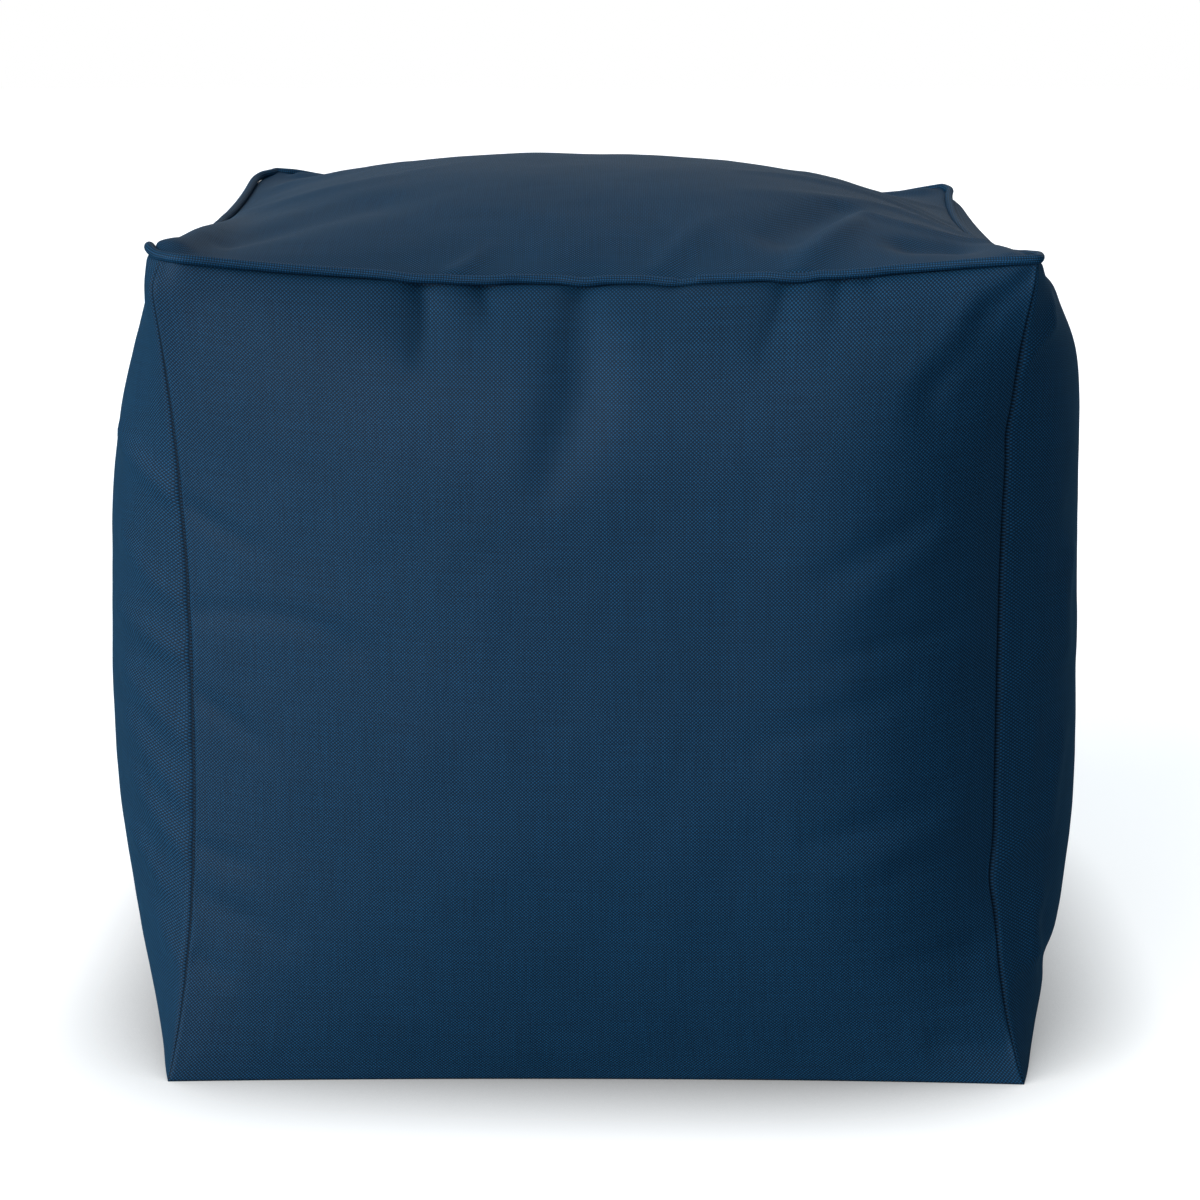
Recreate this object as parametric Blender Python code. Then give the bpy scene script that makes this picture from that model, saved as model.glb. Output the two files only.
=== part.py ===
"""Bean bag footstool: a filled cube of woven cloth, with round piping sewn in along its top edge.

Metres, +Z up. The origin is the middle of the underside, and the front faces -Y.
Six square panels are mapped from the faces of a cube. Each one spans its four seams, bulges out
between them, and carries the folds that the filling and the stitching pull into it.
"""

from collections import namedtuple
from math import exp

import bmesh
import bpy
from mathutils import Vector

# Driving sizes
PANEL = 0.400  # cut size of every panel
HALF = PANEL / 2
DIVISIONS = 26  # mesh cells along each side of a panel
CORNER_BLUNT = 0.005  # how far the turned corners of the top fall short of a sharp corner
PIPING_DIAMETER = 0.0045
SEWN_GAP = 0.0003  # between the piping and the cover
FOLD_FADE = 0.014  # folds die out over this distance from a seam
ON_EDGE = 1.0 - 1e-5  # a place from -1 to 1 that is past this lies on the cube's face or edge

# Finish
COVER_COLOUR = (0.016, 0.043, 0.088, 1.0)
PIPING_COLOUR = (0.017, 0.045, 0.091, 1.0)
CLOTH_ROUGHNESS = 0.78

# Where the seams meet. Each key is (side, end, level): side -1 is left, end -1 is the front and
# level -1 is the floor.
Corner = namedtuple("Corner", "x y z")
CORNERS = {
    (-1, -1, -1): Corner(-0.208, -0.204, 0.000),
    (1, -1, -1): Corner(0.208, -0.209, 0.000),
    (-1, 1, -1): Corner(-0.208, 0.202, 0.000),
    (1, 1, -1): Corner(0.208, 0.202, 0.000),
    (-1, -1, 1): Corner(-0.206, -0.200, 0.399),
    (1, -1, 1): Corner(0.202, -0.203, 0.399),
    (-1, 1, 1): Corner(-0.205, 0.198, 0.402),
    (1, 1, 1): Corner(0.201, 0.198, 0.392),
}

# How far the middle of a seam leaves the straight line between its corners. peak is where along
# the seam (-1 to 1) it is furthest off, and a higher power keeps it off further into that end.
Seam = namedtuple("Seam", "inward_x inward_y sag peak first_power last_power")
UPRIGHT_SEAMS = {
    (-1, -1): Seam(0.018, 0.012, 0.0, -0.05, 2.8, 2.4),
    (1, -1): Seam(0.019, 0.012, 0.0, -0.20, 3.4, 5.0),
    (-1, 1): Seam(0.016, 0.014, 0.0, 0.00, 2.6, 2.6),
    (1, 1): Seam(0.016, 0.014, 0.0, 0.00, 2.6, 2.6),
}
CROSS_SEAMS = {  # run left to right; the key is (end, level)
    (-1, -1): Seam(0.0, 0.003, 0.000, 0.00, 3.0, 3.0),
    (1, -1): Seam(0.0, 0.003, 0.000, 0.00, 3.0, 3.0),
    (-1, 1): Seam(0.0, 0.012, 0.013, -0.05, 2.2, 2.2),
    (1, 1): Seam(0.0, 0.012, 0.012, 0.00, 2.5, 2.5),
}
SIDE_SEAMS = {  # run front to back; the key is (side, level)
    (-1, -1): Seam(-0.013, 0.0, 0.000, 0.00, 4.5, 4.5),
    (1, -1): Seam(-0.010, 0.0, 0.000, 0.00, 4.5, 4.5),
    (-1, 1): Seam(0.004, 0.0, 0.011, 0.00, 1.6, 2.1),
    (1, 1): Seam(0.005, 0.0, 0.013, -0.05, 1.5, 2.8),
}

OUTWARD = {
    "front": (0, -1, 0),
    "back": (0, 1, 0),
    "left": (-1, 0, 0),
    "right": (1, 0, 0),
    "top": (0, 0, 1),
    "base": (0, 0, -1),
}

# How far each panel stands out of the frame of its seams
Bulge = namedtuple("Bulge", "height across_peak across_power up_peak low_power high_power")
BULGES = {
    "front": Bulge(0.057, 0.00, 2.7, -0.10, 2.5, 2.3),
    "back": Bulge(0.057, 0.00, 2.7, -0.10, 2.5, 2.3),
    "left": Bulge(0.054, -0.25, 4.4, 0.10, 3.5, 3.0),
    "right": Bulge(0.048, -0.25, 4.4, 0.25, 4.0, 4.6),
    "top": Bulge(0.053, -0.04, 2.6, 0.00, 2.4, 2.4),
    "base": Bulge(0.0, 0.0, 2.0, 0.0, 2.0, 2.0),
}

# Troughs (depth above 0) and ridges (below 0). Each runs between two places on its panel, given
# across and up from the panel's middle; across runs to the right on the front, back, top and base,
# and towards the back on the left and right panels.
Fold = namedtuple("Fold", "panel from_across from_up to_across to_up half_width depth")
FOLDS = (
    Fold("front", -0.003, 0.190, -0.009, 0.110, 0.017, 0.0060),
    Fold("front", -0.073, 0.192, -0.071, 0.172, 0.012, 0.0035),
    Fold("front", 0.080, 0.190, 0.086, 0.172, 0.011, 0.0020),
    Fold("front", 0.182, 0.172, 0.130, 0.092, 0.026, 0.0065),
    Fold("front", 0.190, 0.070, 0.140, 0.058, 0.016, 0.0030),
    Fold("front", 0.180, 0.014, 0.122, 0.010, 0.013, 0.0025),
    Fold("front", 0.172, -0.070, 0.124, -0.082, 0.016, 0.0035),
    Fold("right", -0.190, -0.092, -0.110, -0.078, 0.013, 0.0030),
    Fold("right", -0.140, -0.166, -0.060, -0.158, 0.014, 0.0040),
    Fold("right", -0.175, -0.130, -0.150, -0.110, 0.018, -0.0035),
    Fold("right", -0.060, 0.040, -0.020, -0.090, 0.024, 0.0030),
    Fold("left", -0.120, 0.030, -0.080, -0.090, 0.030, 0.0025),
    Fold("left", -0.150, -0.120, -0.100, -0.168, 0.020, 0.0030),
    Fold("back", 0.040, 0.190, 0.030, 0.120, 0.018, 0.0050),
    Fold("back", -0.180, -0.060, -0.120, -0.070, 0.016, 0.0030),
    Fold("top", -0.178, -0.070, -0.120, -0.105, 0.014, -0.0030),
    Fold("top", 0.178, -0.170, 0.122, -0.098, 0.014, -0.0030),
    Fold("top", 0.180, 0.168, 0.130, 0.060, 0.018, 0.0035),
    Fold("top", -0.170, 0.120, -0.110, 0.070, 0.020, -0.0040),
)


def arch(along, peak, first_power, last_power):
    """1 at the peak and 0 at both ends, for a place from -1 to 1."""
    if along < peak:
        return 1.0 - ((peak - along) / (1.0 + peak)) ** first_power
    return 1.0 - ((along - peak) / (1.0 - peak)) ** last_power


def seam_point(seam, start, end, inward, along):
    """The point on a seam between two corners, drawn in and sagging between them."""
    share = arch(along, seam.peak, seam.first_power, seam.last_power)
    straight = Vector(start).lerp(Vector(end), (along + 1.0) / 2.0)
    drawn = Vector((seam.inward_x * inward[0], seam.inward_y * inward[1], -seam.sag))
    return straight + drawn * share


def upright_seam(side, end, along):
    start, stop = CORNERS[side, end, -1], CORNERS[side, end, 1]
    return seam_point(UPRIGHT_SEAMS[side, end], start, stop, (-side, -end), along)


def cross_seam(end, level, along):
    start, stop = CORNERS[-1, end, level], CORNERS[1, end, level]
    return seam_point(CROSS_SEAMS[end, level], start, stop, (0, -end), along)


def side_seam(side, level, along):
    start, stop = CORNERS[side, -1, level], CORNERS[side, 1, level]
    return seam_point(SIDE_SEAMS[side, level], start, stop, (-side, 0), along)


def panel_seams(panel):
    """The low, high, first and last seam of a panel, as functions of a place from -1 to 1."""
    if panel in ("front", "back"):
        end = -1 if panel == "front" else 1
        low, high = (lambda s: cross_seam(end, -1, s)), (lambda s: cross_seam(end, 1, s))
        first, last = (lambda s: upright_seam(-1, end, s)), (lambda s: upright_seam(1, end, s))
        return low, high, first, last
    if panel in ("left", "right"):
        side = -1 if panel == "left" else 1
        low, high = (lambda s: side_seam(side, -1, s)), (lambda s: side_seam(side, 1, s))
        first, last = (lambda s: upright_seam(side, -1, s)), (lambda s: upright_seam(side, 1, s))
        return low, high, first, last
    level = -1 if panel == "base" else 1
    low, high = (lambda s: cross_seam(-1, level, s)), (lambda s: cross_seam(1, level, s))
    first, last = (lambda s: side_seam(-1, level, s)), (lambda s: side_seam(1, level, s))
    return low, high, first, last


def span(panel, across, up):
    """The surface stretched between the four seams, without its bulge (a Coons patch)."""
    low, high, first, last = panel_seams(panel)
    a, b = (across + 1.0) / 2.0, (up + 1.0) / 2.0
    between_uprights = first(up).lerp(last(up), a)
    between_levels = low(across).lerp(high(across), b)
    corners = low(-1.0).lerp(low(1.0), a).lerp(high(-1.0).lerp(high(1.0), a), b)
    return between_uprights + between_levels - corners


def fold_depth(panel, across, up):
    """How far the folds pull this place of the panel inwards."""
    place = Vector((across * HALF, up * HALF))
    depth = 0.0
    for fold in FOLDS:
        if fold.panel != panel:
            continue
        start = Vector((fold.from_across, fold.from_up))
        run = Vector((fold.to_across, fold.to_up)) - start
        share = min(max((place - start).dot(run) / run.length_squared, 0.0), 1.0)
        distance = (place - start - run * share).length
        depth += fold.depth * exp(-((distance / fold.half_width) ** 2))
    from_seam = HALF * (1.0 - max(abs(across), abs(up)))
    fade = min(from_seam / FOLD_FADE, 1.0)
    return depth * fade * fade * (3.0 - 2.0 * fade)


def panel_point(panel, across, up):
    """The place on the filled cover, for a place from -1 to 1 each way on a flat panel."""
    bulge = BULGES[panel]
    height = bulge.height
    height *= arch(across, bulge.across_peak, bulge.across_power, bulge.across_power)
    height *= arch(up, bulge.up_peak, bulge.low_power, bulge.high_power)
    outward = Vector(OUTWARD[panel])
    return span(panel, across, up) + outward * (height - fold_depth(panel, across, up))


def on_cover(place):
    """Maps a point of the cube from -1 to 1 onto the cover."""
    if abs(place.z) > ON_EDGE:
        return panel_point("top" if place.z > 0 else "base", place.x, place.y)
    if abs(place.y) > ON_EDGE:
        return panel_point("back" if place.y > 0 else "front", place.x, place.z)
    return panel_point("right" if place.x > 0 else "left", place.y, place.z)


def blunt_corner(place):
    """How far a corner of the top is pulled towards the upright through the middle."""
    if min(abs(place.x), abs(place.y), place.z) < ON_EDGE:
        return Vector((0, 0, 0))
    return Vector((-place.x, -place.y, 0)).normalized() * CORNER_BLUNT


def cloth(name, colour):
    material = bpy.data.materials.new(name)
    material.use_nodes = True
    shader = material.node_tree.nodes["Principled BSDF"]
    shader.inputs["Base Color"].default_value = colour
    shader.inputs["Roughness"].default_value = CLOTH_ROUGHNESS
    shader.inputs["Metallic"].default_value = 0.0
    return material


def add_object(name, data, material):
    data.materials.append(material)
    made = bpy.data.objects.new(name, data)
    bpy.context.scene.collection.objects.link(made)
    return made


def piping_route(bm, seam_verts):
    """Points just outside the top seam, in order round it, one for each vertex of the seam."""
    seam = set(seam_verts)
    vert = seam_verts[0]
    route, seen = [], set()
    while vert is not None:
        seen.add(vert)
        route.append(vert.co + vert.normal * (PIPING_DIAMETER / 2 + SEWN_GAP))
        following = [edge.other_vert(vert) for edge in vert.link_edges]
        following = [other for other in following if other in seam and other not in seen]
        vert = following[0] if following else None
    return route


def is_top_seam(place):
    return place.z > ON_EDGE and max(abs(place.x), abs(place.y)) > ON_EDGE


def make_bag():
    """The filled cover, and the points round its top seam that the piping follows."""
    bm = bmesh.new()
    bmesh.ops.create_cube(bm, size=2.0)
    bmesh.ops.subdivide_edges(bm, edges=bm.edges[:], cuts=DIVISIONS - 1, use_grid_fill=True)
    seam_verts = [vert for vert in bm.verts if is_top_seam(vert.co)]
    for vert in bm.verts:
        vert.co = on_cover(vert.co) + blunt_corner(vert.co)
    xs = [vert.co.x for vert in bm.verts]
    ys = [vert.co.y for vert in bm.verts]
    middle = Vector((max(xs) + min(xs), max(ys) + min(ys), 0.0)) / 2.0
    bmesh.ops.translate(bm, vec=-middle, verts=bm.verts)
    bm.normal_update()
    route = piping_route(bm, seam_verts)
    mesh = bpy.data.meshes.new("bag")
    bm.to_mesh(mesh)
    bm.free()
    mesh.shade_smooth()
    add_object("bag", mesh, cloth("cover_cloth", COVER_COLOUR))
    return route


def make_piping(route):
    """A closed round cord on the route."""
    curve = bpy.data.curves.new("top_piping", "CURVE")
    curve.dimensions = "3D"
    curve.bevel_depth = PIPING_DIAMETER / 2
    curve.bevel_resolution = 2
    spline = curve.splines.new("POLY")
    spline.points.add(len(route) - 1)
    for point, place in zip(spline.points, route):
        point.co = (*place, 1.0)
    spline.use_cyclic_u = True
    spline.use_smooth = True
    add_object("top_piping", curve, cloth("piping_cloth", PIPING_COLOUR))


def clear_scene():
    for old in list(bpy.data.objects):
        bpy.data.objects.remove(old, do_unlink=True)


def main():
    clear_scene()
    make_piping(make_bag())


main()
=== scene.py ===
"""Bean bag footstool: the filled cover, its piping and a plain studio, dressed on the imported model.

Metres, +Z up. The origin is the middle of the underside, and the front faces -Y. The cover is six
square panels mapped from the faces of a cube: each spans its four seams, bulges out between them and
carries its folds. The piping is a rolled tube that follows the seam round the top.
"""

from collections import namedtuple
from math import cos, pi, radians, sin

import bmesh
import bpy
import numpy as np
from bpy.props import FloatProperty, FloatVectorProperty, IntProperty, IntVectorProperty, PointerProperty
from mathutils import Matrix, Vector, noise


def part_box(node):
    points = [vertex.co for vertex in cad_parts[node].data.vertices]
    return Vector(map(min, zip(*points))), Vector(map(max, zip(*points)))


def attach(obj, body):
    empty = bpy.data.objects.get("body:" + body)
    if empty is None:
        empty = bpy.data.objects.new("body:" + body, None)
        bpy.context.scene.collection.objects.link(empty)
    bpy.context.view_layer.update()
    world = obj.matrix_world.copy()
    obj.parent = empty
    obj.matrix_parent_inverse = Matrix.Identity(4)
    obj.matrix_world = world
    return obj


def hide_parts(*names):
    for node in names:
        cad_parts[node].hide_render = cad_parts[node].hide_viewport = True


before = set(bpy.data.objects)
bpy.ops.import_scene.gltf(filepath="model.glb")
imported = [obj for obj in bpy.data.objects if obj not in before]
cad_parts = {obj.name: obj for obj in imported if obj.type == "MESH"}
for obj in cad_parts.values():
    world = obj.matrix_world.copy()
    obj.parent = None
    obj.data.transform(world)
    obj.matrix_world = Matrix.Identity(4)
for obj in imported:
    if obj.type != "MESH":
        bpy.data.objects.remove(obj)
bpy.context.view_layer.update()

bl_info = {
    "name": "Bean bag footstool",
    "version": (1, 0, 0),
    "blender": (4, 5, 0),
    "location": "3D View > Sidebar > Footstool",
    "description": "Makes a filled cube of woven cloth, the piping round its top and a studio",
    "category": "Add Mesh",
}

BODY = "root"
PANEL = 0.400  # cut size of every panel
HALF = PANEL / 2
ON_EDGE = 1.0 - 1e-5  # a place from -1 to 1 that is past this lies on the cube's face or edge

# Places on the cover are named (side, end, level): side -1 is left, end -1 is the front and level -1 is
# the floor. These are the corners, where the seams meet.
Corner = namedtuple("Corner", "x y z")
CORNERS = {
    (-1, -1, -1): Corner(-0.2075, -0.212, 0.000),
    (1, -1, -1): Corner(0.208, -0.209, 0.000),
    (-1, 1, -1): Corner(-0.208, 0.202, 0.000),
    (1, 1, -1): Corner(0.208, 0.202, 0.000),
    (-1, -1, 1): Corner(-0.206, -0.200, 0.399),
    (1, -1, 1): Corner(0.204, -0.203, 0.399),
    (-1, 1, 1): Corner(-0.2055, 0.199, 0.4045),
    (1, 1, 1): Corner(0.2025, 0.198, 0.3955),
}

# How far each turned corner of the top falls short of a sharp one, and how far along the cloth
# that is felt. The key is (side, end).
Blunt = namedtuple("Blunt", "short reach")
BLUNT_CORNERS = {
    (-1, -1): Blunt(0.009, 0.010),
    (1, -1): Blunt(0.003, 0.010),
    (-1, 1): Blunt(0.013, 0.020),
    (1, 1): Blunt(0.005, 0.008),
}

# How far the middle of a seam leaves the straight line between its corners. peak is where along
# the seam (-1 to 1) it is furthest off, and a higher power keeps it off further into that end. Its
# name is its place, with a 0 where it runs from -1 to 1.
Seam = namedtuple("Seam", "inward_x inward_y sag peak first_power last_power")
SEAMS = {
    (-1, -1, 0): Seam(0.0150, 0.012, 0.0, -0.05, 2.8, 2.3),
    (1, -1, 0): Seam(0.0157, 0.012, 0.0, -0.20, 3.2, 4.3),
    (-1, 1, 0): Seam(0.016, 0.014, 0.0, 0.0, 2.6, 2.6),
    (1, 1, 0): Seam(0.016, 0.014, 0.0, 0.0, 2.6, 2.6),
    (0, -1, -1): Seam(0.0, 0.005, 0.0, 0.0, 1.9, 2.4),
    (0, 1, -1): Seam(0.0, 0.003, 0.0, 0.0, 3.0, 3.0),
    (0, -1, 1): Seam(0.0, 0.012, 0.013, -0.05, 2.2, 2.2),
    (0, 1, 1): Seam(0.0, 0.012, 0.013, 0.0, 2.5, 4.5),
    (-1, 0, -1): Seam(-0.012, 0.0, 0.0, 0.0, 4.5, 4.5),
    (1, 0, -1): Seam(-0.012, 0.0, 0.0, 0.0, 4.5, 4.5),
    (-1, 0, 1): Seam(0.002, 0.0, 0.013, 0.0, 1.6, 2.4),
    (1, 0, 1): Seam(0.007, 0.0, 0.013, 0.05, 1.8, 2.8),
}

# Short shifts of a seam's line, where a fold runs into it. at is measured from the seam's middle.
Kink = namedtuple("Kink", "seam at half_width x y z")
KINKS = (
    Kink((-1, 0, 1), -0.178, 0.010, 0.0, 0.0, 0.0036),
    Kink((1, -1, 0), 0.118, 0.010, -0.0012, 0.0, 0.0),
    Kink((1, -1, 0), -0.098, 0.014, -0.0022, 0.0, 0.0),
    Kink((0, -1, 1), -0.003, 0.010, 0.0, 0.0010, -0.0008),
    Kink((0, -1, 1), 0.036, 0.008, 0.0, -0.0004, -0.0012),
)
KINK_REACH = 0.012  # how far from its seam a kink moves the cloth

OUTWARD = {
    "front": (0, -1, 0),
    "back": (0, 1, 0),
    "left": (-1, 0, 0),
    "right": (1, 0, 0),
    "top": (0, 0, 1),
    "base": (0, 0, -1),
}
PANELS = tuple(OUTWARD)
# Which of x, y and z run across and up each panel
PANEL_AXES = {
    "front": (0, 2),
    "back": (0, 2),
    "left": (1, 2),
    "right": (1, 2),
    "top": (0, 1),
    "base": (0, 1),
}

# How far each panel stands out of the frame of its seams
Bulge = namedtuple("Bulge", "height across_peak first_power last_power up_peak low_power high_power")
BULGES = {
    "front": Bulge(0.057, 0.40, 2.8, 2.6, 0.24, 2.8, 4.2),
    "back": Bulge(0.057, 0.00, 2.7, 2.7, -0.10, 2.5, 2.3),
    "left": Bulge(0.0485, -0.25, 4.4, 4.4, 0.10, 2.6, 2.65),
    "right": Bulge(0.0468, -0.25, 4.4, 4.6, 0.40, 4.4, 4.0),
    "top": Bulge(0.0535, -0.04, 2.35, 3.0, 0.00, 2.4, 2.4),
    "base": Bulge(0.0, 0.0, 2.0, 2.0, 0.0, 2.0, 2.0),
}

# Troughs (depth above 0) and ridges (below 0) in the cloth, in millimetres. Each is a row of marks
# along its line: a place across and up from the panel's middle, how far to the sides the fold is felt
# there, and its depth. The power is that of its profile: a soft fold is round, a crease is sharp.
MILLIMETRE = 0.001
Fold = namedtuple("Fold", "marks power")


def fold(*marks, power=2.0):
    return Fold(np.array(marks) * MILLIMETRE, power)


def crease(*marks):
    return fold(*marks, power=1.2)


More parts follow.
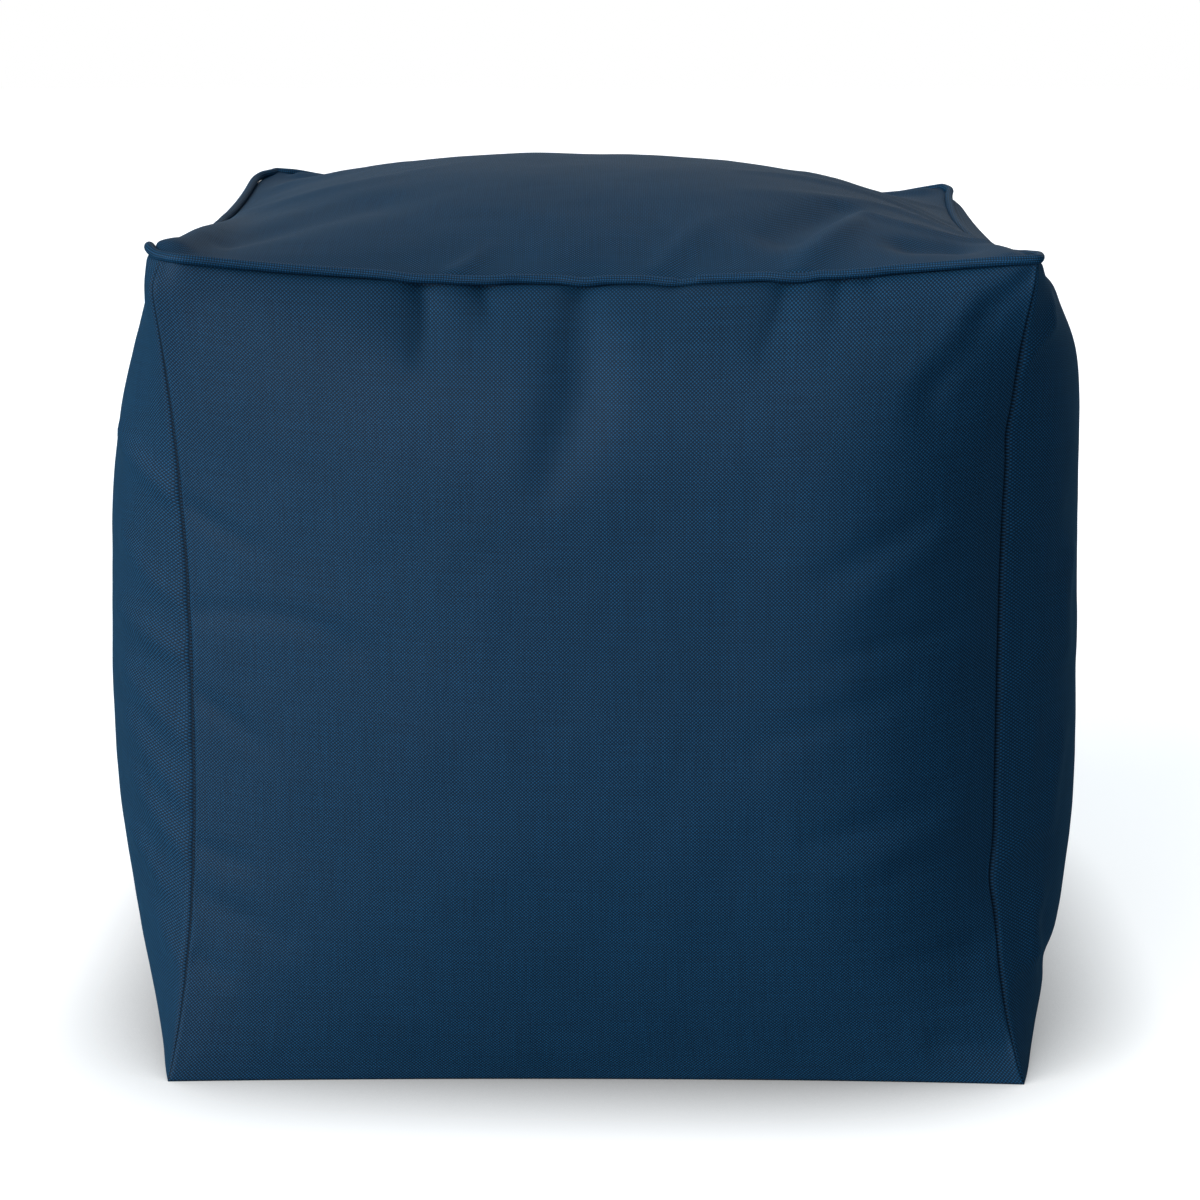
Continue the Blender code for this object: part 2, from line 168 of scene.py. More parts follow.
FOLDS = {
    "front": (
        # the long pinch under the middle of the piping, and the swell beside it
        fold(
            (-5, 200, 7, 3.4),
            (-4, 186, 10, 5.6),
            (-3, 168, 15, 6.2),
            (-4, 150, 15, 5),
            (-12, 130, 14, 3.2),
            (-19, 112, 10, 1.6),
        ),
        fold((43, 197, 20, -1.4), (46, 150, 24, -0.8)),
        # short pleats under the piping, from left to right
        crease((-78, 200, 8, 7), (-75, 187, 10, 8), (-76, 172, 9, 4.6), (-81, 161, 6, 0.6)),
        crease((-50, 200, 7, 6.4), (-47, 190, 8, 5.8), (-46, 181, 7, 1)),
        crease((87, 200, 7, 5), (86, 187, 9, 6.6), (80, 174, 9, 3.6), (77, 165, 6, 0.4)),
        crease((110, 200, 7, 5), (111, 188, 8, 5.2), (110, 179, 7, 1.4)),
        crease((122, 200, 5, 3.4), (126, 192, 5, 2.2)),
        # two scalloped hollows beside the right seam, each steep at its upper left
        fold((198, 193, 5, 1), (187, 184, 7, 2), (178, 177, 8, 3), (175, 167, 8, 1.6)),
        fold((192, 174, 11, 1.4), (185, 163, 12, 1.4)),
        fold((172, 159, 6, 0.8), (162, 153, 8, 2.4), (155, 144, 9, 3), (158, 133, 8, 1.2)),
        fold((178, 143, 11, 1), (168, 133, 12, 1.4)),
        fold((170, 185, 7, -0.8), (163, 172, 7, -1), (150, 160, 8, -1)),
        # drag lines that run from the right seam down to the left
        fold((112, 67, 7, 0.6), (130, 75, 8, 1.4), (148, 83, 8, 1.4), (162, 90, 6, 0.8)),
        fold((121, 52, 8, -0.6), (140, 62, 9, -1.4), (164, 74, 8, -1.4)),
        crease(
            (112, 26, 5, 0.5),
            (128, 30, 6, 1.4),
            (144, 32, 6, 2.2),
            (165, 33, 6, 2.4),
            (179, 35, 5, 1.2),
        ),
        fold((80, -14, 7, 0.5), (118, 0, 8, 1.3), (152, 8, 7, 0.9)),
        fold((105, -64, 7, 0.8), (133, -56, 8, 1.7), (167, -50, 8, 1.2)),
        fold((115, -83, 8, -0.6), (141, -74, 8, -1.4), (175, -64, 8, -1)),
        fold((150, -84, 8, 1.6), (176, -83, 10, 1.8), (198, -94, 10, 1.6)),
        fold((150, -130, 6, 1), (162, -131, 7, 1.8), (186, -131, 8, 2), (199, -130, 7, 1.4)),
        fold((167, -178, 8, 1.4), (194, -183, 8, 1.8)),
        # faint drag lines from the left seam
        fold((-198, 83, 5, 1.1), (-177, 74, 6, 1.3), (-161, 68, 6, 0.5)),
        fold((-198, 31, 6, 0.9), (-163, 38, 6, 1.1), (-130, 36, 7, 1.2), (-119, 25, 9, 1)),
        fold((-198, -9, 6, 1.1), (-178, -18, 6, 1.3), (-163, -28, 7, 0.6)),
        fold((-198, -83, 5, 1), (-180, -88, 6, 1.2), (-168, -90, 6, 0.4)),
        fold((-198, -108, 7, 1), (-175, -115, 7, 1.1), (-152, -123, 8, 0.5)),
        fold((-194, -140, 6, 1), (-180, -146, 6, 0.8)),
    ),
    "back": (
        fold((40, 199, 9, 3.4), (38, 160, 16, 5), (30, 120, 14, 2)),
        crease((-64, 199, 8, 3.6), (-60, 168, 10, 1.6)),
        crease((96, 199, 7, 2.4), (92, 172, 9, 1)),
        fold((-196, -56, 8, 2.8), (-160, -64, 10, 2.6), (-120, -70, 12, 0.8)),
        fold((-196, 20, 7, 2), (-150, 2, 9, 1.8), (-120, -4, 9, 0.4)),
        fold((196, 46, 8, 2.4), (160, 60, 10, 2.2), (130, 68, 10, 0.6)),
        fold((196, -110, 8, 2), (160, -98, 9, 1.6)),
    ),
    "left": (
        # parallel drag lines that rise from the front seam towards the back
        fold((-197, 87, 5, -2), (-186, 96, 6, -2.6), (-158, 113, 8, -2.4)),
        fold((-197, 36, 5, -1.2), (-184, 45, 6, -1.8), (-166, 62, 7, -1.8)),
        fold((-197, 9, 5, -1.8), (-185, 16, 6, -2.4), (-160, 25, 8, -2.4)),
        fold((-197, -32, 5, -1.4), (-186, -19, 6, -2), (-165, -5, 8, -2.4)),
        fold((-197, -62, 5, -1.4), (-186, -49, 6, -2.2), (-167, -30, 8, -2.2)),
        fold((-197, -88, 5, -1.6), (-186, -77, 6, -2.2), (-170, -59, 8, -2)),
        fold((-185, -108, 5, -1.8), (-176, -98, 6, -2.6), (-163, -88, 8, -2.2)),
        fold((-196, -143, 5, -1.2), (-188, -134, 6, -1.8), (-178, -122, 8, -1.2)),
        # the full shoulder below the piping
        fold((-190, 196, 8, -2), (-190, 182, 9, -1.8), (-186, 168, 8, -0.4)),
        fold((50, 186, 10, -3), (120, 186, 10, -4), (180, 188, 10, -3.6)),
        fold((196, 36, 8, 2.4), (160, 48, 10, 2.6), (130, 54, 12, 0.8)),
        fold((196, -60, 8, 2), (150, -44, 10, 1.6)),
        crease((30, 199, 8, 3), (34, 170, 12, 3.2), (38, 146, 12, 0.8)),
        crease((-60, 199, 6, 2), (-62, 180, 8, 1.2)),
    ),
    "right": (
        # thin sharp creases near the front seam
        crease((-198, 151, 3, -1.6), (-194, 159, 3, -2.4), (-181, 169, 4, -2.2)),
        crease((-178, 188, 3, -1.2), (-181, 178, 4, -1.8), (-183, 170, 3, -1.2)),
        crease((-197, -93, 3, -1.6), (-192, -85, 4, -2.4), (-181, -80, 5, -1.8)),
        crease((-198, -153, 3, -1), (-189, -146, 4, -1.8), (-181, -143, 5, -1.4)),
        # softer ones, and the hollow and the swell low down
        fold((-196, 70, 4, -1.2), (-187, 77, 5, -1.6), (-171, 80, 7, -1.4)),
        fold((-196, -6, 4, -0.8), (-188, 4, 4, -1.2), (-177, 12, 5, -1.4)),
        fold((-157, 54, 8, -2), (-166, 33, 8, -2.8), (-162, 10, 8, -1.8)),
        fold((-185, -24, 4, -1), (-186, -43, 5, -1.4), (-186, -63, 4, -0.8)),
        fold((-166, -36, 6, -1.8), (-172, -60, 6, -2.6), (-173, -78, 6, -1.8)),
        fold((-178, -114, 6, -2.6), (-184, -126, 6, -3.8), (-179, -143, 6, -2.6)),
        fold((-162, -153, 8, 2.4), (-140, -158, 12, 3.4), (-80, -160, 16, 3)),
        # the full shoulder below the piping
        fold((-188, 197, 8, -1), (-184, 180, 9, -1.2), (-180, 165, 8, -0.4)),
        fold((-140, 188, 9, -3), (-60, 188, 10, -5.2), (60, 188, 10, -6.4), (170, 190, 9, -5.6)),
        fold((-60, 40, 20, 2.4), (-40, -20, 26, 3), (-20, -90, 24, 2)),
        fold((196, -16, 8, 2.4), (160, -28, 10, 2.8), (130, -36, 12, 0.8)),
        fold((196, 90, 8, 2), (156, 104, 10, 1.6)),
        crease((-20, 199, 7, 2.6), (-24, 172, 10, 2.6), (-26, 156, 10, 0.6)),
    ),
    "top": (
        # the crest that climbs from the left seam onto the crown
        fold(
            (-186, 10, 12, -1.6),
            (-170, -26, 14, -3),
            (-150, -44, 16, -3.4),
            (-130, -44, 16, -3),
            (-100, -38, 16, -1.8),
            (-76, -20, 16, -0.6),
        ),
        # the full shoulders beside the left seam, along the back seam and at the front right corner
        fold(
            (-188, -182, 10, -5.6),
            (-186, -150, 12, -7.4),
            (-184, -100, 12, -6),
            (-184, -50, 12, -3),
            (-186, 10, 10, -1),
        ),
        fold((-176, 188, 8, -3.4), (-130, 190, 8, -3.4), (130, 190, 8, -3.4), (184, 190, 8, -3.4)),
        fold((188, -186, 8, -3), (188, -160, 8, -3.4), (184, -120, 7, -1)),
        fold((-168, -160, 8, 2), (-150, -136, 18, 3.4), (-110, -110, 22, 3.4)),
        # the hollow right of the crown, with the fold in front of it
        fold((88, -158, 14, 4), (104, -134, 14, 6.4), (120, -112, 12, 4.4)),
        fold((92, -196, 7, -2), (103, -174, 8, -3.6), (116, -148, 8, -4), (128, -116, 8, -2.6)),
        # drag lines that fan out from the back right corner
        fold((184, -134, 4, -1.8), (156, -134, 5, -2.2), (132, -118, 6, -1.6)),
        fold(
            (184, -110, 4, -1.8),
            (158, -84, 5, -2.2),
            (138, -80, 6, -1.8),
            (110, -96, 9, -1.2),
            (78, -100, 10, -0.6),
        ),
        fold(
            (190, -30, 4, -1.4),
            (160, -26, 5, -2),
            (128, -36, 6, -2),
            (100, -40, 7, -1.6),
            (76, -48, 8, -0.8),
        ),
        fold((190, 40, 4, -1.4), (157, 16, 5, -1.8), (110, 10, 7, -1)),
        fold((190, 130, 5, -1.4), (160, 110, 6, -1.6), (116, 70, 8, -1)),
        # small puckers along the front edge
        fold((-61, -194, 5, -1.8), (-55, -186, 5, -1.8), (-49, -174, 6, -0.6)),
        fold((31, -190, 6, -1.4), (41, -170, 7, -1.8), (54, -146, 8, -0.8)),
        fold((146, -164, 10, 4.4), (164, -162, 10, 4.4)),
        fold((-170, 130, 14, -3), (-130, 100, 18, -3), (-90, 70, 20, -1.2)),
    ),
    "base": (),
}
FOLD_FADE = 0.003  # folds die out over this distance from a seam

# Unevenness of the filling behind the cloth: the height of each swell and the distance between two
Swell = namedtuple("Swell", "height spacing")
SWELLS = (Swell(0.0011, 0.085), Swell(0.0005, 0.034), Swell(0.00016, 0.014))
SWELL_APART = 7.0  # how far apart in the noise the sizes of swell are read
SWELL_FADE = 0.020  # the unevenness dies out over this distance from a seam

# The camera stands in front of the footstool, above its top and tilted down, as in the photograph
CAMERA_PLACE = (0.0248, -1.4583, 0.546)
CAMERA_TILT = radians(13.7)
CAMERA_TURN = radians(0.93)
CAMERA_LENS = 83.31  # millimetres, on the sensor below
CAMERA_SENSOR = 36.0

# Lamps of the studio, so far away that their light is even over the floor. turn is measured from the
# camera's side towards the right and climb from level, in degrees; width is how wide the lamp looks
# from the footstool, so a wide one throws soft shadows.
Lamp = namedtuple("Lamp", "name turn climb width strength")
LAMPS = (
    Lamp("side_key", -62, 12, 40, 2.80),
    Lamp("key", -45, 28, 50, 0.90),
    Lamp("front", -20, 18, 50, 1.50),
    Lamp("overhead", 0, 85, 70, 0.52),
    Lamp("back_high", 180, 60, 60, 0.30),
    Lamp("back", 180, 20, 50, 0.34),
    Lamp("back_right", 135, 35, 60, 0.30),
)


# ------------------------------------------------------------------------------------ settings


def length(name, description, default, **limits):
    """A size in metres, shown to a hundredth of a millimetre."""
    return FloatProperty(
        name=name, description=description, default=default, unit="LENGTH", precision=5, **limits
    )


def share(name, description, default):
    return FloatProperty(
        name=name, description=description, default=default, min=0.0, max=1.0, subtype="FACTOR"
    )


def colour(name, description, default):
    return FloatVectorProperty(
        name=name, description=description, default=default, size=4, min=0.0, max=1.0, subtype="COLOR"
    )


class ClothSettings(bpy.types.PropertyGroup):
    """The woven cloth that the cover and its piping are cut from."""

    tone: colour("Cloth", "Colour of the yarn", (0.0026, 0.0300, 0.0695, 1.0))
    # painted shade: the cloth is coloured darker down between its yarns, where shade falls
    gap: share("Between yarns", "How pale the cloth is down between its yarns", 0.36)
    # painted light: upright yarns are coloured paler as painted highlight and level ones darker as painted
    # shade, in place of how the light falls on each
    contrast: share("Contrast", "How much paler the upright yarns look than the level ones", 0.72)
    gloss: share("Gloss", "Strength of the yarn's shine", 0.16)
    warp_pitch: length("Warp pitch", "Distance between two upright yarns", 0.00087)
    weft_pitch: length("Weft pitch", "Distance between two level yarns", 0.00082)
    relief: length("Relief", "Height of a yarn where it passes over another", 0.00012)
    roughness: share("Roughness", "How matt the yarn is", 0.62)
    # painted shade: beside every seam the cloth's colour is darkened towards this tone, over the reach
    # below, in place of the shadow in the seam
    painted_seam_shade: share("In the seams", "How pale the cloth is where it turns into a seam", 0.22)
    seam_reach: length("Seam reach", "How far from a seam the cloth is shaded by it", 0.0011)


class CoverSettings(bpy.types.PropertyGroup):
    """The filled cover of six panels."""

    divisions: IntVectorProperty(
        name="Divisions", description="Mesh cells along x, y and z", default=(176, 108, 136), min=16
    )
    first_cell: share("First cell", "Size of a cell beside a seam, as a part of a middle one", 0.18)
    growth: FloatProperty(
        name="Growth", description="How much larger each cell is than the last", default=1.12, min=1.0
    )
    seam_roll: length("Seam roll", "Radius at which the cloth rolls into a plain seam", 0.0025)
    piped_roll: length("Piped roll", "How deep the cloth dips beside the piping", 0.0012)
    fill: share("Fill", "How tight the filling is", 0.85)


class PipingSettings(bpy.types.PropertyGroup):
    """The round piping in the top seam."""

    diameter: length("Diameter", "Thickness of the piping", 0.0045)
    seated: length("Seated", "How far the middle of the piping stands off the seam", 0.0013)
    corner_tuck: length("Corner tuck", "How much further in it is sewn at the corners", 0.0024)
    sides: IntProperty(name="Sides", description="Faces round the piping", default=16, min=6)
    step: length("Step", "Distance between two rings of the piping", 0.0012)
    lap_start: length("Lap start", "Where its outer end lies, right of the front's middle", 0.046)
    lap_notch: length("Lap notch", "Where its inner end grows thinner, right of the middle", 0.036)
    tucked: length("Tucked", "How far the inner end runs on inside the outer one", 0.004)
    thinner: share("Thinner", "How much thinner the inner end is", 0.22)


class StageSettings(bpy.types.PropertyGroup):
    """The studio: floor, sky and lamps."""

    floor_size: length("Floor", "Width of the floor", 16.0)
    floor_tone: colour("Floor tone", "Colour of the floor", (0.68, 0.665, 0.655, 1.0))
    floor_glow: share("Floor glow", "Light that the floor adds to keep its far parts white", 0.65)
    contact_reach: length("Contact shade", "How far from the footstool its soft shade is felt", 0.075)
    floor_seen: colour("Floor from above", "How the floor looks to the footstool", (0.16, 0.36, 0.48, 1.0))
    sky_tone: colour("Sky tone", "Colour of the light from all round", (0.15, 0.65, 1.0, 1.0))
    sky: FloatProperty(name="Sky", description="Strength of the light from all round", default=0.18)
    lamps: FloatProperty(name="Lamps", description="Strength of all the lamps together", default=1.0)


# --------------------------------------------------------------------------- form of the cover


def arch(along, peak, first_power, last_power):
    """1 at the peak and 0 at both ends, for places from -1 to 1."""
    before = np.clip((peak - along) / (1.0 + peak), 0.0, 1.0) ** first_power
    after = np.clip((along - peak) / (1.0 - peak), 0.0, 1.0) ** last_power
    return 1.0 - before - after


def seam_points(name, along):
    """Points on a seam, drawn in and sagging between its corners, without its kinks."""
    seam = SEAMS[name]
    start, stop = (np.array(CORNERS[tuple(place or way for place in name)]) for way in (-1, 1))
    part = (along[:, None] + 1.0) / 2.0
    drawn = np.array((seam.inward_x * -name[0], seam.inward_y * -name[1], -seam.sag))
    off = arch(along, seam.peak, seam.first_power, seam.last_power)
    return start * (1.0 - part) + stop * part + off[:, None] * drawn


def panel_seams(panel):
    """The names of the low, high, first and last seam of a panel."""
    names = []
    for axis in reversed(PANEL_AXES[panel]):
        for way in (-1, 1):
            place = list(OUTWARD[panel])
            place[axis] = way
            names.append(tuple(place))
    return names


def span(panel, across, up):
    """The surface stretched between the four seams, without its bulge (a Coons patch)."""
    low, high, first, last = panel_seams(panel)
    a = ((across + 1.0) / 2.0)[:, None]
    b = ((up + 1.0) / 2.0)[:, None]
    ends = np.array((-1.0, 1.0))
    low_left, low_right = seam_points(low, ends)
    high_left, high_right = seam_points(high, ends)
    between_uprights = seam_points(first, up) * (1.0 - a) + seam_points(last, up) * a
    between_levels = seam_points(low, across) * (1.0 - b) + seam_points(high, across) * b
    low_corners = low_left * (1.0 - a) + low_right * a
    high_corners = high_left * (1.0 - a) + high_right * a
    return between_uprights + between_levels - low_corners * (1.0 - b) - high_corners * b


def kinked(panel, across, up):
    """How far the kinks of the panel's seams move the cloth beside them."""
    low, high, first, last = panel_seams(panel)
    moved = np.zeros((len(across), 3))
    for kink in KINKS:
        for name, along, from_it in (
            (low, across, 1.0 + up),
            (high, across, 1.0 - up),
            (first, up, 1.0 + across),
            (last, up, 1.0 - across),
        ):
            if kink.seam == name:
                felt = np.exp(-(((along * HALF - kink.at) / kink.half_width) ** 2))
                felt = felt * np.exp(-((from_it * HALF / KINK_REACH) ** 2))
                moved += felt[:, None] * np.array((kink.x, kink.y, kink.z))
    return moved


def smooth_step(share_of_way):
    clipped = np.clip(share_of_way, 0.0, 1.0)
    return clipped * clipped * (3.0 - 2.0 * clipped)


def from_seam(across, up):
    """Distance of a place to the nearest seam, along the flat cloth."""
    return HALF * (1.0 - np.maximum(np.abs(across), np.abs(up)))


def rounded(marks):
    """The marks of a fold with the corners of its line cut off, so that it bends smoothly."""
    rows = marks
    for _ in range(2):
        nearer = rows[:-1] * 0.75 + rows[1:] * 0.25
        further = rows[:-1] * 0.25 + rows[1:] * 0.75
        between = np.stack((nearer, further), 1).reshape(-1, rows.shape[1])
        rows = np.concatenate((rows[:1], between, rows[-1:]))
    return rows


def fold_depth(panel, across, up):
    """How far the folds pull each place of the panel inwards."""
    places = np.stack((across, up), 1) * HALF
    depth = np.zeros_like(across)
    for marks, power in FOLDS[panel]:
        rows = rounded(marks)
        nearest = np.full_like(across, np.inf)
        own_depth = np.zeros_like(across)
        for start, stop in zip(rows[:-1], rows[1:]):
            run = stop[:2] - start[:2]
            way = np.clip((places - start[:2]) @ run / (run @ run), 0.0, 1.0)[:, None]
            here = start + (stop - start) * way
            distance = np.linalg.norm(places - here[:, :2], axis=1)
            closer = distance < nearest
            nearest[closer] = distance[closer]
            own_depth[closer] = (here[:, 3] * np.exp(-((distance / here[:, 2]) ** power)))[closer]
        depth += own_depth
    return depth * smooth_step(from_seam(across, up) / FOLD_FADE)


def panel_points(panel, across, up):
    """Places on the filled cover, for places from -1 to 1 each way on a flat panel."""
    bulge = BULGES[panel]
    height = bulge.height * arch(across, bulge.across_peak, bulge.first_power, bulge.last_power)
    height = height * arch(up, bulge.up_peak, bulge.low_power, bulge.high_power)
    height = height - fold_depth(panel, across, up)
    stretched = span(panel, across, up) + kinked(panel, across, up)
    return stretched + height[:, None] * np.array(OUTWARD[panel])


def panel_of(places):
    """The index in PANELS of each place on the cube from -1 to 1."""
    x, y, z = places.T
    panel = np.where(x > 0, PANELS.index("right"), PANELS.index("left"))
    panel = np.where(y > ON_EDGE, PANELS.index("back"), panel)
    panel = np.where(y < -ON_EDGE, PANELS.index("front"), panel)
    panel = np.where(z > ON_EDGE, PANELS.index("top"), panel)
    return np.where(z < -ON_EDGE, PANELS.index("base"), panel)


def blunt_corners(places):
    """How far the cloth at the corners of the top is pulled towards the upright through the middle."""
    pull = np.zeros_like(places)
    for (side, end), blunt in BLUNT_CORNERS.items():
        from_corner = HALF * np.linalg.norm(places - np.array((side, end, 1.0)), axis=1)
        felt = blunt.short * np.exp(-((from_corner / blunt.reach) ** 2))
        pull -= felt[:, None] * np.array((side, end, 0.0)) / np.sqrt(2.0)
    return pull


def by_panel(places):
    """For each panel: its name, which of the places lie on it, and where those are across and up it."""
    index = panel_of(places)
    for number, panel in enumerate(PANELS):
        mine = index == number
        across, up = (places[mine][:, axis] for axis in PANEL_AXES[panel])
        yield panel, mine, across, up


def cover_points(places):
    """Maps places on the cube from -1 to 1 onto the cover."""
    points = np.zeros_like(places)
    for panel, mine, across, up in by_panel(places):
        points[mine] = panel_points(panel, across, up)
    return points + blunt_corners(places)


MIDDLE_SAMPLES = 161  # places across and up a panel where its reach is measured


def middle_shift():
    """Moves the middle of the cover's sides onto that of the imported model's, level with the floor."""
    low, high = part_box("bag")
    sample = np.linspace(-1.0, 1.0, MIDDLE_SAMPLES)
    across, up = (grid.ravel() for grid in np.meshgrid(sample, sample))
    shift = np.zeros(3)
    for axis, pair in enumerate((("left", "right"), ("front", "back"))):
        reach = np.concatenate([panel_points(panel, across, up)[:, axis] for panel in pair])
        shift[axis] = (low[axis] + high[axis]) / 2.0 - (reach.min() + reach.max()) / 2.0
    return shift


def graded(cube, settings):
    """Draws the mesh lines of each panel closer together towards its seams."""
    places = np.empty_like(cube)
    for axis, cells in enumerate(settings.divisions):
        number = np.arange(cells)
        nearer = np.minimum(number, number[::-1])
        sizes = np.minimum(settings.first_cell * settings.growth**nearer, 1.0)
        lines = np.concatenate(([0.0], np.cumsum(sizes)))
        even = np.linspace(-1.0, 1.0, cells + 1)
        places[:, axis] = np.interp(cube[:, axis], even, 2.0 * lines / lines[-1] - 1.0)
    return places


def swell_height(point):
    height = 0.0
    for number, swell in enumerate(SWELLS):
        place = point / swell.spacing + Vector((0, 0, SWELL_APART * number))
        height += swell.height * noise.noise(place)
    return height


def swells(points, places):
    """The unevenness of the filling, as a height for each point; none at the seams or the base."""
    heights = np.array([swell_height(Vector(point)) for point in points])
    for panel, mine, across, up in by_panel(places):
        heights[mine] *= smooth_step(from_seam(across, up) / SWELL_FADE) * (panel != "base")
    return heights


def roll_depth(distance, radius):
    """How far cloth that rolls round this radius into a seam has dropped at a distance from it."""
    short = np.clip(radius - distance, 0.0, radius)
    return radius - np.sqrt(radius * radius - short * short)


FLOOR_ROLL = 0.25  # how much of the roll is left at the floor, where the seam is pressed flat
FLOOR_RISE = 4.0  # how high above the floor the roll is whole, in roll radii
PIPING_CLEAR = 3.0  # how far from the piping a plain seam's roll is whole, in roll radii
DIP_WIDTH = 2.0  # how wide the dip beside the piping is, for its depth


def seam_rolls(places, plain_roll, piped_roll):
    """How far each place sinks because the cloth beside it turns into a seam."""
    edge = np.sort(HALF * (1.0 - np.abs(places)), 1)[:, 1]  # distance to the second nearest face
    x, y, z = places.T
    to_top = HALF * (1.0 - z)
    sides = HALF * (1.0 - np.maximum(np.abs(x), np.abs(y)))
    to_piping = np.maximum(to_top, sides)
    free = smooth_step(HALF * (1.0 + z) / (FLOOR_RISE * plain_roll))
    pressed = FLOOR_ROLL + (1.0 - FLOOR_ROLL) * free
    plain = roll_depth(edge, plain_roll) * smooth_step(to_piping / (PIPING_CLEAR * plain_roll)) * pressed
    piped = piped_roll * np.exp(-((to_piping / (DIP_WIDTH * piped_roll)) ** 2))
    return plain + piped


def cover_uvs(mesh, places):
    """Lays each panel's cut cloth flat in the UV map, in metres, a metre apart."""
    corner_vert = np.zeros(len(mesh.loops), np.int32)
    mesh.loops.foreach_get("vertex_index", corner_vert)
    sides = np.zeros(len(mesh.polygons), np.int32)
    mesh.polygons.foreach_get("loop_total", sides)
    corners = places[corner_vert]
    starts = np.concatenate(([0], np.cumsum(sides)[:-1]))
    middles = np.add.reduceat(corners, starts, axis=0) / sides[:, None]
    index = np.repeat(panel_of(middles), sides)
    flat = np.zeros((len(corners), 2))
    for number, panel in enumerate(PANELS):
        mine = index == number
        flat[mine] = corners[mine][:, PANEL_AXES[panel]] * HALF
        flat[mine, 0] += number
    mesh.uv_layers.new(name="cloth").data.foreach_set("uv", flat.ravel())


# ------------------------------------------------------------------------------------ materials


def put(tree, socket, value):
    """Links a socket to another, or gives it a plain value."""
    if isinstance(value, bpy.types.NodeSocket):
        tree.links.new(value, socket)
    else:
        socket.default_value = value


def fill_in(tree, node, **values):
    """Gives a node's inputs a link or a value each; _ stands for a space in an input's name."""
    for name, value in values.items():
        put(tree, node.inputs[name.replace("_", " ")], value)
    return node


def add(tree, kind, **values):
    return fill_in(tree, tree.nodes.new("ShaderNode" + kind), **values)


def add_group(tree, group, **values):
    node = tree.nodes.new("ShaderNodeGroup")
    node.node_tree = group
    return fill_in(tree, node, **values)


def calc(tree, operation, *values):
    node = add(tree, "Math")
    node.operation = operation
    for socket, value in zip(node.inputs, values):
        put(tree, socket, value)
    return node.outputs[0]


def remap(tree, value, low, high, to_low=0.0, to_high=1.0):
    ends = {"From_Min": low, "From_Max": high, "To_Min": to_low, "To_Max": to_high}
    return add(tree, "MapRange", Value=value, **ends).outputs["Result"]


def blend_colours(tree, factor, first, second):
    node = add(tree, "Mix")
    node.data_type = "RGBA"
    colours = [socket for socket in node.inputs if socket.type == "RGBA"]
    for socket, value in zip((node.inputs["Factor"], *colours), (factor, first, second)):
        put(tree, socket, value)
    return next(socket for socket in node.outputs if socket.type == "RGBA")


def dimmed(tone, part):
    """A colour made darker or paler, with its last number kept."""
    return (*(amount * part for amount in tone[:3]), tone[3])


def scaled(tree, vector, scale, turn=0.0):
    """A vector stretched by three numbers, after a turn about Z."""
    return add(tree, "Mapping", Vector=vector, Rotation=(0.0, 0.0, turn), Scale=scale).outputs["Vector"]


def clouds(tree, vector, scale, detail=2.0):
    """Soft noise from 0 to 1."""
    return add(tree, "TexNoise", Vector=vector, Scale=scale, Detail=detail).outputs["Fac"]


def new_group(name, inputs, outputs):
    """An empty node group from a place on the cloth and some numbers to numbers, with its two ends."""
    group = bpy.data.node_groups.new(name, "ShaderNodeTree")
    group.interface.new_socket("Cloth", in_out="INPUT", socket_type="NodeSocketVector")
    for label in inputs:
        group.interface.new_socket(label, in_out="INPUT", socket_type="NodeSocketFloat")
    for label in outputs:
        group.interface.new_socket(label, in_out="OUTPUT", socket_type="NodeSocketFloat")
    return group, group.nodes.new("NodeGroupInput"), group.nodes.new("NodeGroupOutput")


def for_camera(tree, seen, other):
    """One shader for what the camera sees directly, and the other for all other light."""
    choice = add(tree, "MixShader", Fac=add(tree, "LightPath").outputs["Is Camera Ray"])
    put(tree, choice.inputs[1], other.outputs[0])
    put(tree, choice.inputs[2], seen.outputs[0])
    return choice.outputs[0]


PROUD_WARP = 0.6  # how much of the relief is in the upright yarns standing above the level ones
YARN_PROFILE = 0.6  # power of a yarn's rounded back: less is flatter
CROSSING = 0.35  # part of the wave over which one yarn passes below the other
BENDS = 45.0  # how many times in a metre a yarn leaves its straight line
WANDER = 0.0006  # how far it goes
WARP_STREAKS = (900.0, 26.0, 1.0)  # changes of thickness in a metre across and along the yarns
WEFT_STREAKS = (26.0, 950.0, 1.0)


